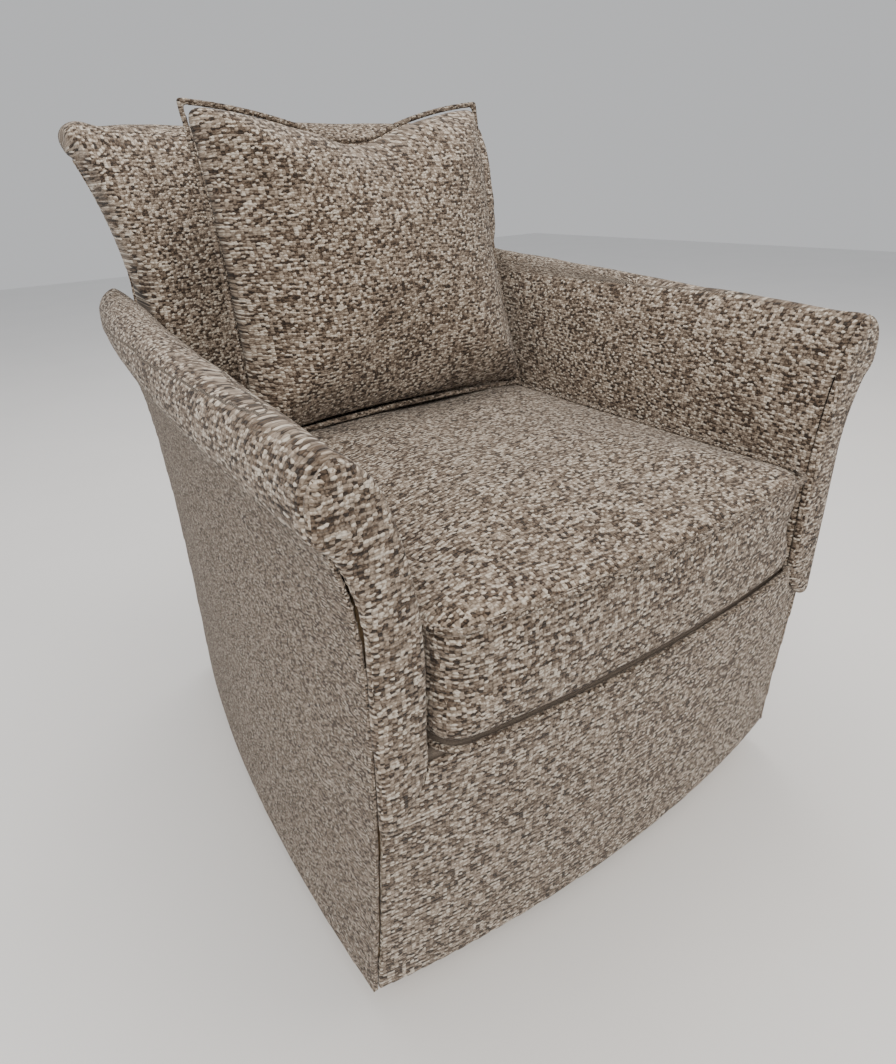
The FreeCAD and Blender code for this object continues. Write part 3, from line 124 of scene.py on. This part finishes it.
class PuffSettings(bpy.types.PropertyGroup):
    """How the padding is filled."""

    voxel: FloatProperty(
        name="Voxel",
        description="Size of the faces before smoothing",
        default=0.007,
        unit="LENGTH",
    )
    sheet_voxel: FloatProperty(
        name="Sheet voxel",
        description="Size of the faces of the thin covers",
        default=0.0029,
        unit="LENGTH",
    )
    pressure: FloatProperty(name="Pressure", description="Pressure inside the padding", default=4.0)
    held: FloatProperty(
        name="Held margin",
        description="Width beside a seam that stays put",
        default=0.016,
        unit="LENGTH",
    )
    crease: FloatProperty(
        name="Creases",
        description="Depth of the soft creases",
        default=0.0030,
        unit="LENGTH",
    )
    simulate: BoolProperty(name="Simulate", description="Run the cloth simulation", default=True)


class ViewSettings(bpy.types.PropertyGroup):
    """The camera, placed in the frame's own metres."""

    place: FloatVectorProperty(
        name="Place",
        description="Camera position",
        default=(-0.5686, -0.8034, 0.8499),
        unit="LENGTH",
    )
    yaw: FloatProperty(
        name="Yaw",
        description="Turn about the upright axis",
        default=math.radians(-30.6),
        unit="ROTATION",
    )
    pitch: FloatProperty(
        name="Pitch",
        description="Tilt below the horizon",
        default=math.radians(-21.5),
        unit="ROTATION",
    )
    roll: FloatProperty(
        name="Roll",
        description="Lean of the picture",
        default=math.radians(-2.8),
        unit="ROTATION",
    )
    lens: FloatProperty(name="Lens", description="Focal length in mm on a 36 mm sensor", default=23.27)
    shift: FloatVectorProperty(
        name="Shift",
        description="Lens shift across and up",
        size=2,
        default=(0.070, -0.077),
    )


# Materials


def tree_of(name):
    """A new material, with its node tree and its surface shader."""
    material = bpy.data.materials.new(name)
    material.use_nodes = True
    nodes = material.node_tree.nodes
    return material, material.node_tree, nodes["Principled BSDF"]


def math_node(tree, operation, a, b=None):
    made = tree.nodes.new("ShaderNodeMath")
    made.operation = operation
    for socket, value in zip(made.inputs, (a, b)):
        if isinstance(value, (int, float)):
            socket.default_value = value
        elif value is not None:
            tree.links.new(value, socket)
    return made.outputs[0]


def thread_coordinates(tree, pitch):
    """The weave's own coordinates, counted in threads, a little uneven."""
    uv = tree.nodes.new("ShaderNodeUVMap")
    uv.uv_map = "weave"
    wander = tree.nodes.new("ShaderNodeTexNoise")
    wander.inputs["Scale"].default_value = 22
    tree.links.new(uv.outputs[0], wander.inputs["Vector"])
    off = tree.nodes.new("ShaderNodeVectorMath")
    off.operation = "MULTIPLY_ADD"
    off.inputs[1].default_value = (0.006, 0.006, 0)
    tree.links.new(wander.outputs["Color"], off.inputs[0])
    tree.links.new(uv.outputs[0], off.inputs[2])
    scale = tree.nodes.new("ShaderNodeVectorMath")
    scale.operation = "SCALE"
    scale.inputs["Scale"].default_value = 1 / pitch
    tree.links.new(off.outputs[0], scale.inputs[0])
    return scale.outputs[0]


def nubs(tree, coordinates, stretch, randomness):
    """Cells of yarn, longer one way: their distance from the middle and a random value each."""
    mapping = tree.nodes.new("ShaderNodeMapping")
    mapping.inputs["Scale"].default_value = stretch
    tree.links.new(coordinates, mapping.inputs["Vector"])
    cells = tree.nodes.new("ShaderNodeTexVoronoi")
    cells.voronoi_dimensions = "2D"
    cells.inputs["Scale"].default_value = 1
    cells.inputs["Randomness"].default_value = randomness
    tree.links.new(mapping.outputs[0], cells.inputs["Vector"])
    value = tree.nodes.new("ShaderNodeSeparateColor")
    tree.links.new(cells.outputs["Color"], value.inputs[0])
    return cells.outputs["Distance"], value.outputs[0]


def tweed(settings, name, pitch_share=1.0, cream_share=1.0, shade=1.0):
    """Basket weave of mixed yarn: rows of pale slubs over a taupe, brown and black ground, with painted shade
    in the gaps between the yarn nubs.
    """
    material, tree, shader = tree_of(name)
    coordinates = thread_coordinates(tree, settings.pitch * pitch_share)
    far, pick = nubs(tree, coordinates, (0.62, 1.0, 1.0), 0.55)
    fine_far, fine_pick = nubs(tree, coordinates, (1.7, 1.5, 1.0), 0.9)
    row = tree.nodes.new("ShaderNodeSeparateXYZ")
    tree.links.new(coordinates, row.inputs[0])
    wave = math_node(tree, "SINE", math_node(tree, "MULTIPLY", row.outputs[1], math.pi))
    coarse_part = math_node(tree, "MULTIPLY", pick, 1 - FINE_YARN)
    fine_part = math_node(tree, "MULTIPLY", fine_pick, FINE_YARN)
    mixed = math_node(tree, "ADD", coarse_part, fine_part)
    mixed = math_node(tree, "ADD", mixed, math_node(tree, "MULTIPLY", wave, ROW_TONE))
    ramp = tree.nodes.new("ShaderNodeValToRGB")
    stops = (
        (0.15, settings.dark), (0.32, settings.brown), (0.54, settings.taupe),
        (1 - 0.29 * cream_share, [1.45 * c for c in settings.taupe]),
        (1 - 0.17 * cream_share, settings.cream),
    )
    while len(ramp.color_ramp.elements) < len(stops):
        ramp.color_ramp.elements.new(0.5)
    for element, (position, color) in zip(ramp.color_ramp.elements, stops):
        element.position = position
        element.color = [c * shade for c in color] + [1]
    tree.links.new(mixed, ramp.inputs[0])
    # Painted shade: the yarn colour goes from full at the middle of each nub down to 0.35 in the gaps between
    # nubs.
    painted_gap_shade = tree.nodes.new("ShaderNodeMapRange")
    painted_gap_shade.inputs["From Min"].default_value, painted_gap_shade.inputs["From Max"].default_value = 0.30, 0.85
    painted_gap_shade.inputs["To Min"].default_value, painted_gap_shade.inputs["To Max"].default_value = 1.0, 0.35
    tree.links.new(far, painted_gap_shade.inputs["Value"])
    tint = tree.nodes.new("ShaderNodeVectorMath")
    tint.operation = "SCALE"
    tree.links.new(ramp.outputs[0], tint.inputs[0])
    tree.links.new(painted_gap_shade.outputs[0], tint.inputs["Scale"])
    tree.links.new(tint.outputs[0], shader.inputs["Base Color"])
    shader.inputs["Roughness"].default_value = 0.95
    shader.inputs["Specular IOR Level"].default_value = 0.12
    shader.inputs["Sheen Weight"].default_value = 0.10
    height = math_node(tree, "SUBTRACT", 1.0, far)
    height = math_node(tree, "SUBTRACT", height, math_node(tree, "MULTIPLY", fine_far, 0.4))
    bump = tree.nodes.new("ShaderNodeBump")
    bump.inputs["Distance"].default_value = settings.relief
    bump.inputs["Strength"].default_value = 0.9
    tree.links.new(height, bump.inputs["Height"])
    tree.links.new(bump.outputs[0], shader.inputs["Normal"])
    return material


def plain(name, color, roughness, metallic=0.0, grain=(40, 40, 40), depth=0.0002, contrast=0.25):
    """A finish with faint uneven colour and relief."""
    material, tree, shader = tree_of(name)
    place = tree.nodes.new("ShaderNodeTexCoord")
    mapping = tree.nodes.new("ShaderNodeMapping")
    mapping.inputs["Scale"].default_value = grain
    tree.links.new(place.outputs["Object"], mapping.inputs["Vector"])
    spots = tree.nodes.new("ShaderNodeTexNoise")
    spots.inputs["Scale"].default_value = 1
    spots.inputs["Detail"].default_value = 5
    tree.links.new(mapping.outputs[0], spots.inputs["Vector"])
    ramp = tree.nodes.new("ShaderNodeValToRGB")
    for element, share in zip(ramp.color_ramp.elements, (1 - contrast, 1 + contrast)):
        element.color = [min(1, c * share) for c in color] + [1]
    ramp.color_ramp.elements[0].position, ramp.color_ramp.elements[1].position = 0.35, 0.65
    tree.links.new(spots.outputs[0], ramp.inputs[0])
    tree.links.new(ramp.outputs[0], shader.inputs["Base Color"])
    shader.inputs["Roughness"].default_value = roughness
    shader.inputs["Metallic"].default_value = metallic
    bump = tree.nodes.new("ShaderNodeBump")
    bump.inputs["Distance"].default_value = depth
    tree.links.new(spots.outputs[0], bump.inputs["Height"])
    tree.links.new(bump.outputs[0], shader.inputs["Normal"])
    return material


FINISHES = {
    "hardwood": ((0.52, 0.36, 0.21), 0.6, 0.0, (6, 60, 60), 0.0003, 0.22),
    "black_steel": ((0.018, 0.018, 0.019), 0.42, 0.0, (900, 900, 900), 0.00005, 0.2),
    "zinc_steel": ((0.60, 0.60, 0.58), 0.32, 1.0, (60, 60, 900), 0.00003, 0.15),
    "nylon": ((0.06, 0.06, 0.06), 0.5, 0.0, (300, 300, 300), 0.00005, 0.2),
    "rubber": ((0.025, 0.025, 0.025), 0.8, 0.0, (300, 300, 300), 0.0001, 0.2),
    "zip_tape": ((0.10, 0.08, 0.065), 0.85, 0.0, (900, 900, 900), 0.0001, 0.3),
    "cambric": ((0.016, 0.016, 0.017), 0.95, 0.0, (500, 500, 500), 0.0002, 0.5),
    "webbing": ((0.50, 0.41, 0.27), 0.9, 0.0, (60, 900, 900), 0.0003, 0.35),
    "deck_cloth": ((0.20, 0.165, 0.135), 0.92, 0.0, (900, 900, 900), 0.0002, 0.3),
}


def material_for(slot):
    """The finish of a material slot, made once."""
    name = f"{slot} finish"
    if name in bpy.data.materials:
        return bpy.data.materials[name]
    weave = bpy.context.scene.rocker_weave
    if slot == "tweed":
        return tweed(weave, name)
    if slot == "tweed_fine":
        return tweed(weave, name, pitch_share=0.62, cream_share=0.8)
    if slot == "welt_cloth":
        return tweed(weave, name, pitch_share=0.8, cream_share=0.85, shade=0.85)
    return plain(name, *FINISHES[slot])


# Shapes of the soft pieces


def copy_of(node, name, filled_by=()):
    """A copy of a node's solid that no longer shares its mesh, with the frame that fills its hollows."""
    shape = bmesh.new()
    for part in (node, *filled_by):
        shape.from_mesh(NODES[part].data)
    mesh = bpy.data.meshes.new(name)
    shape.to_mesh(mesh)
    shape.free()
    made = bpy.data.objects.new(name, mesh)
    bpy.context.scene.collection.objects.link(made)
    return made


def apply_modifiers(piece):
    graph = bpy.context.evaluated_depsgraph_get()
    mesh = bpy.data.meshes.new_from_object(piece.evaluated_get(graph))
    piece.modifiers.clear()
    old = piece.data
    piece.data = mesh
    bpy.data.meshes.remove(old)


def remesh(piece, voxel):
    """An even skin of small faces in place of the solid's long ones."""
    weld = piece.modifiers.new("weld", "WELD")
    weld.merge_threshold = WELD_DISTANCE
    even = piece.modifiers.new("even", "REMESH")
    even.mode = "VOXEL"
    even.voxel_size = voxel
    apply_modifiers(piece)


def smooth(piece, times, factor=0.5):
    relax = piece.modifiers.new("relax", "SMOOTH")
    relax.factor, relax.iterations = factor, times
    apply_modifiers(piece)


def distance_to(nodes):
    """A function that gives the distance from a point to the nearest of some nodes."""
    trees = []
    for node in nodes:
        mesh = NODES[node].data
        trees.append(BVHTree.FromPolygons([v.co for v in mesh.vertices], [p.vertices for p in mesh.polygons]))

    def distance(point):
        return min((tree.find_nearest(point)[3] for tree in trees), default=1.0)

    return distance


def puff(piece, held_by, cap, settings):
    """Swells the padding with a cloth simulation, held beside its seams and where it meets other pieces."""
    start = [v.co.copy() for v in piece.data.vertices]
    distance = distance_to(held_by)
    free = [min(1.0, max(0.0, distance(co) / settings.held - 0.5)) for co in start]
    if settings.simulate:
        held = piece.vertex_groups.new(name="held")
        for index, share in enumerate(free):
            held.add([index], 1.0 if share < 0.05 else 0.0, "REPLACE")
        cloth = piece.modifiers.new("cloth", "CLOTH")
        cloth.settings.quality = CLOTH_QUALITY
        cloth.settings.use_pressure = True
        cloth.settings.uniform_pressure_force = settings.pressure
        cloth.settings.effector_weights.gravity = 0
        cloth.settings.vertex_group_mass = "held"
        cloth.collision_settings.use_collision = False
        scene = bpy.context.scene
        for step in range(1, CLOTH_FRAMES + 1):
            scene.frame_set(step)
        apply_modifiers(piece)
        scene.frame_set(1)
    for vertex, before, share in zip(piece.data.vertices, start, free):
        move = vertex.co - before
        if move.length > cap:
            move *= cap / move.length
        vertex.co = before + move * share


def soft_creases(piece, held_by, depth, stretch, seed):
    """Shallow folds and dents of used upholstery, fading out towards the seams."""
    distance = distance_to(held_by)
    normals = [v.normal.copy() for v in piece.data.vertices]
    for vertex, normal in zip(piece.data.vertices, normals):
        fade = min(1.0, distance(vertex.co) / 0.03)
        at = Vector(c * s for c, s in zip(vertex.co, stretch)) + Vector((seed, 0, 0))
        swell = noise.noise(at) + 0.45 * noise.noise(at * 2.3)
        ridge = 1 - abs(noise.noise(at * 1.3 + Vector((7, 3, 1)))) * 3
        vertex.co += normal * depth * fade * (swell - 0.35 * max(0, ridge))


def lay_weave(piece, laid):
    """Coordinates of the cloth in metres, from a function of a face's middle, its normal and a corner."""
    layer = piece.data.uv_layers.new(name="weave")
    mesh = piece.data
    for face in mesh.polygons:
        for loop in face.loop_indices:
            corner = mesh.vertices[mesh.loops[loop].vertex_index].co
            layer.data[loop].uv = laid(face.center, face.normal, corner)


def laid_flat(middle, normal, corner):
    """Rows across the front and top of a piece, and along its sides."""
    if abs(normal.z) > 0.72:
        return corner.x, corner.y
    if abs(normal.x) > 0.72:
        return corner.y, corner.z
    return corner.x, corner.z


def laid_over_arm(side):
    """Cloth that runs up the inside of an arm and over its roll, with rows along the arm."""
    lo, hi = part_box(f"inside_arm_{side}")
    radius = (hi.x - lo.x) / 2
    middle_x, middle_z = (lo.x + hi.x) / 2, hi.z - 0.7 * radius

    def laid(middle, normal, corner):
        if corner.z < middle_z:
            return corner.y, corner.z
        turn = math.atan2(corner.z - middle_z, abs(corner.x) - abs(middle_x))
        return corner.y, middle_z + radius * (math.pi - turn)

    return laid


def laid_over_back():
    """Cloth that runs up the back and over its roll."""
    lo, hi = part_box("inside_back")
    radius = 0.15 * (hi.y - lo.y)
    middle_z, middle_y = hi.z - radius, hi.y - 0.055

    def laid(middle, normal, corner):
        if corner.z < middle_z:
            return corner.x, corner.z
        turn = math.atan2(corner.z - middle_z, corner.y - middle_y)
        return corner.x, middle_z + radius * (math.pi - turn)

    return laid


def finish_soft(piece, node, laid, slot=None, levels=1):
    """The last steps of a soft piece: finer faces, weave, finish, and its place in the frame."""
    if levels:
        finer = piece.modifiers.new("finer", "SUBSURF")
        finer.levels = finer.render_levels = levels
        apply_modifiers(piece)
    lay_weave(piece, laid)
    piece.data.materials.append(material_for(slot or SLOT_OF[node]))
    piece.data.shade_smooth()
    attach(piece, BODY_OF[node])
    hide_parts(node)
    return piece


def soft_piece(
    node, held_by, cap, laid, seed,
    crease=1.0, stretch=(9, 9, 9), slot=None, levels=1, filled_by=(), voxel_share=1.0, relax=6,
):
    """A padded piece: remeshed, puffed by at most the cap, creased, and finished."""
    settings = bpy.context.scene.rocker_puff
    piece = copy_of(node, f"{node}_cloth", filled_by)
    remesh(piece, settings.voxel * voxel_share)
    smooth(piece, relax)
    puff(piece, held_by, cap, settings)
    smooth(piece, relax // 2)
    soft_creases(piece, held_by, settings.crease * crease, stretch, seed)
    return finish_soft(piece, node, laid, slot, levels)


def welt(node, laid, slot="welt_cloth"):
    """Round piping in place of the plain cord of the solid."""
    piece = copy_of(node, f"{node}_cloth")
    remesh(piece, WELT_VOXEL)
    smooth(piece, 10)
    return finish_soft(piece, node, laid, slot, levels=0)


def thin_cover(node, seed, laid=laid_flat, slot=None):
    """A cover pulled tight over the frame: smooth, with the slightest hollows between the rails."""
    settings = bpy.context.scene.rocker_puff
    piece = copy_of(node, f"{node}_cloth")
    remesh(piece, settings.sheet_voxel)
    smooth(piece, 2)
    soft_creases(piece, [], 0.25 * settings.crease, (4, 4, 4), seed)
    return finish_soft(piece, node, laid, slot, levels=0)


# One operator for each piece or group


class PieceOperator(bpy.types.Operator):
    """A step that reports a failure instead of hiding it."""

    bl_idname = "rocker.piece"
    bl_label = "Piece"

    def build(self):
        raise NotImplementedError

    def execute(self, context):
        self.build()
        return {"FINISHED"}


class SeatCushion(PieceOperator):
    """The loose seat cushion: crowned, with its border drawn in between the two welts."""

    bl_idname = "rocker.seat_cushion"
    bl_label = "Seat cushion"

    def build(self):
        seams = ["cushion_welts"]
        soft_piece("seat_cushion", seams, 0.009, laid_flat, 3, crease=1.1, stretch=(7, 7, 12))
        welt("cushion_welts", laid_flat)


class BackPillow(PieceOperator):
    """The loose back pillow, puffed and creased more than the other pieces; its top edge dips."""

    bl_idname = "rocker.back_pillow"
    bl_label = "Back pillow"

    def build(self):
        def laid(middle, normal, corner):
            return corner.x, corner.z

        soft_piece("back_pillow", ["pillow_welt"], 0.014, laid, 11, crease=2.0, stretch=(8, 8, 6))
        welt("pillow_welt", laid)


class Arms(PieceOperator):
    """The padded arms, their fronts, and the covers outside them."""

    bl_idname = "rocker.arms"
    bl_label = "Arms"

    def build(self):
        for seed, side in enumerate(SIDES):
            seams = [f"outside_arm_{side}", f"arm_front_{side}", "inside_back", "seat_deck"]
            soft_piece(
                f"inside_arm_{side}", seams, 0.006, laid_over_arm(side), 20 + seed,
                stretch=(9, 5, 9), filled_by=[f"{side}_arm_board"], voxel_share=0.5, levels=0, relax=3,
            )
            seams = [f"outside_arm_{side}", f"inside_arm_{side}", "front_border"]
            soft_piece(
                f"arm_front_{side}", seams, 0.004, laid_flat, 30 + seed,
                crease=0.5, voxel_share=0.5, levels=0, relax=3,
            )
            thin_cover(f"outside_arm_{side}", 40 + seed, slot="tweed_fine")


class Back(PieceOperator):
    """The padded back and the cover behind it."""

    bl_idname = "rocker.back"
    bl_label = "Back"

    def build(self):
        seams = ["outside_back", "inside_arm_left", "inside_arm_right", "seat_deck"]
        soft_piece("inside_back", seams, 0.007, laid_over_back(), 50, crease=1.3, stretch=(5, 8, 8))
        thin_cover("outside_back", 60)


class FrontBorder(PieceOperator):
    """The border below the cushion."""

    bl_idname = "rocker.front_border"
    bl_label = "Front border"

    def build(self):
        thin_cover("front_border", 70)


class HiddenParts(PieceOperator):
    """Finishes of everything that keeps the frame's own shape."""

    bl_idname = "rocker.hidden_parts"
    bl_label = "Frame and base"

    def build(self):
        for name, shown in NODES.items():
            if shown.hide_render:
                continue
            shown.data.materials.clear()
            shown.data.materials.append(material_for(SLOT_OF[name]))
            shown.data.shade_smooth()
            shown.data.set_sharp_from_angle(angle=math.radians(35))


class Stage(PieceOperator):
    """Pale floor, soft light and the camera at the photo's angle."""

    bl_idname = "rocker.stage"
    bl_label = "Stage"

    def build(self):
        self.floor()
        self.light()
        self.camera()

    def floor(self):
        bpy.ops.mesh.primitive_plane_add(size=FLOOR_SIZE, location=(0, 0, -FLOOR_DROP))
        ground = bpy.context.object
        ground.name = "floor"
        paint = plain("floor", FLOOR_GREY, 0.7, grain=(3, 3, 3), depth=0, contrast=0.01)
        ground.data.materials.append(paint)
        world = bpy.context.scene.world or bpy.data.worlds.new("world")
        bpy.context.scene.world = world
        world.use_nodes = True
        world.node_tree.nodes["Background"].inputs[0].default_value = (0.90, 0.91, 0.93, 1)
        world.node_tree.nodes["Background"].inputs[1].default_value = 0.65

    def light(self):
        lamps = (
            ("key", (-1.9, -2.2, 2.6), 105, 1.8, (1.0, 0.94, 0.86)),
            ("fill", (2.4, -1.6, 1.9), 34, 2.4, (1.0, 0.88, 0.74)),
            ("top", (0.2, 0.6, 3.0), 55, 2.2, (1.0, 0.95, 0.90)),
        )
        for name, place, power, width, color in lamps:
            data = bpy.data.lights.new(name, "AREA")
            data.energy, data.size = power, width
            data.color = color
            lamp = bpy.data.objects.new(name, data)
            lamp.location = place
            lamp.rotation_euler = (Vector((0, 0, 0.45)) - Vector(place)).to_track_quat("-Z", "Y").to_euler()
            bpy.context.scene.collection.objects.link(lamp)

    def camera(self):
        settings = bpy.context.scene.rocker_view
        data = bpy.data.cameras.new("camera")
        data.sensor_fit, data.sensor_width = "AUTO", 36
        data.lens = settings.lens
        data.shift_x, data.shift_y = settings.shift
        camera = bpy.data.objects.new("camera", data)
        camera.location = settings.place
        upright = Euler((math.pi / 2 + settings.pitch, 0, settings.yaw)).to_matrix()
        camera.rotation_euler = (upright @ Euler((0, 0, settings.roll)).to_matrix()).to_euler()
        bpy.context.scene.collection.objects.link(camera)
        bpy.context.scene.camera = camera


STEPS = (SeatCushion, BackPillow, Arms, Back, FrontBorder, HiddenParts, Stage)


class RockerPanel(bpy.types.Panel):
    """Settings and steps, in order."""

    bl_idname = "VIEW3D_PT_rocker"
    bl_label = "Swivel rocker"
    bl_space_type = "VIEW_3D"
    bl_region_type = "UI"
    bl_category = "Swivel rocker"

    def draw(self, context):
        for settings in (context.scene.rocker_weave, context.scene.rocker_puff, context.scene.rocker_view):
            for name in settings.__annotations__:
                self.layout.prop(settings, name)
        for step in STEPS:
            self.layout.operator(step.bl_idname)


CLASSES = (WeaveSettings, PuffSettings, ViewSettings, *STEPS, RockerPanel)


def register():
    for made in CLASSES:
        bpy.utils.register_class(made)
    bpy.types.Scene.rocker_weave = PointerProperty(type=WeaveSettings)
    bpy.types.Scene.rocker_puff = PointerProperty(type=PuffSettings)
    bpy.types.Scene.rocker_view = PointerProperty(type=ViewSettings)


def unregister():
    del bpy.types.Scene.rocker_view, bpy.types.Scene.rocker_puff, bpy.types.Scene.rocker_weave
    for made in reversed(CLASSES):
        bpy.utils.unregister_class(made)


def main():
    register()
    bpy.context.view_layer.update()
    for step in STEPS:
        group, name = step.bl_idname.split(".")
        getattr(getattr(bpy.ops, group), name)()


if __name__ == "__main__":
    main()
